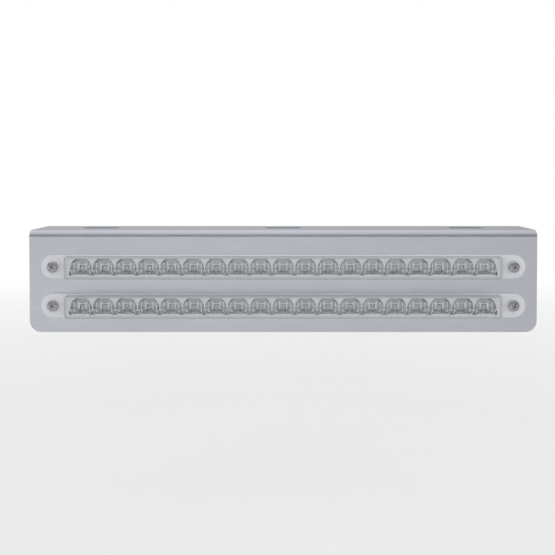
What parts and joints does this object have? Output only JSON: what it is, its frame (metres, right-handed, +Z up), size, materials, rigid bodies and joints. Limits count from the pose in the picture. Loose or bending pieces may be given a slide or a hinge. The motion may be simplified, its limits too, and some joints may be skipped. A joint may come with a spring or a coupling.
{
  "type": "led light bar",
  "caption": "Bent stainless bracket with slotted top flange that carries two parallel clear-lens surface-mount LED light bars for a truck or trailer.",
  "frame": {"origin": "on the top face of the mounting flange, at mid-length, 14 mm behind the front of the face plate, on the flat strip between the bend and the middle slot", "axes": "+X to the right along the bracket's length, seen from the front; -Y forward, the way the lights shine; +Z up out of the flange's top face"},
  "size_m": [0.4572, 0.0643, 0.092],
  "materials": {
    "stainless_steel": "bright polished stainless sheet with a fine lengthwise grain",
    "clear_lens": "clear gloss polycarbonate, frosted on the end tabs",
    "chromed_plastic": "vacuum-metallised moulded plastic with facets",
    "circuit_board": "satin white solder mask",
    "led_resin": "white ceramic package with a clear silicone dome over a pale phosphor",
    "pale_plastic": "fine matte moulded ABS, pale grey",
    "black_rubber": "matte moulded rubber",
    "screw_steel": "plain bright stainless steel"
  },
  "bodies": {
    "root": {"mounting_bracket": "stainless_steel", "upper_lens": "clear_lens", "upper_reflector": "chromed_plastic", "upper_circuit_board": "circuit_board", "upper_housing": "pale_plastic", "upper_wire_seal": "black_rubber", "upper_led_01": "led_resin", "upper_led_02": "led_resin", "upper_led_03": "led_resin", "upper_led_04": "led_resin", "upper_led_05": "led_resin", "upper_led_06": "led_resin", "upper_led_07": "led_resin", "upper_led_08": "led_resin", "upper_led_09": "led_resin", "upper_led_10": "led_resin", "upper_led_11": "led_resin", "upper_led_12": "led_resin", "upper_led_13": "led_resin", "upper_led_14": "led_resin", "upper_led_15": "led_resin", "upper_led_16": "led_resin", "upper_led_17": "led_resin", "upper_led_18": "led_resin", "upper_led_19": "led_resin", "upper_left_screw": "screw_steel", "upper_left_nut": "screw_steel", "upper_right_screw": "screw_steel", "upper_right_nut": "screw_steel", "lower_lens": "clear_lens", "lower_reflector": "chromed_plastic", "lower_circuit_board": "circuit_board", "lower_housing": "pale_plastic", "lower_wire_seal": "black_rubber", "lower_led_01": "led_resin", "lower_led_02": "led_resin", "lower_led_03": "led_resin", "lower_led_04": "led_resin", "lower_led_05": "led_resin", "lower_led_06": "led_resin", "lower_led_07": "led_resin", "lower_led_08": "led_resin", "lower_led_09": "led_resin", "lower_led_10": "led_resin", "lower_led_11": "led_resin", "lower_led_12": "led_resin", "lower_led_13": "led_resin", "lower_led_14": "led_resin", "lower_led_15": "led_resin", "lower_led_16": "led_resin", "lower_led_17": "led_resin", "lower_led_18": "led_resin", "lower_led_19": "led_resin", "lower_left_screw": "screw_steel", "lower_left_nut": "screw_steel", "lower_right_screw": "screw_steel", "lower_right_nut": "screw_steel"}
  },
  "joints": []
}
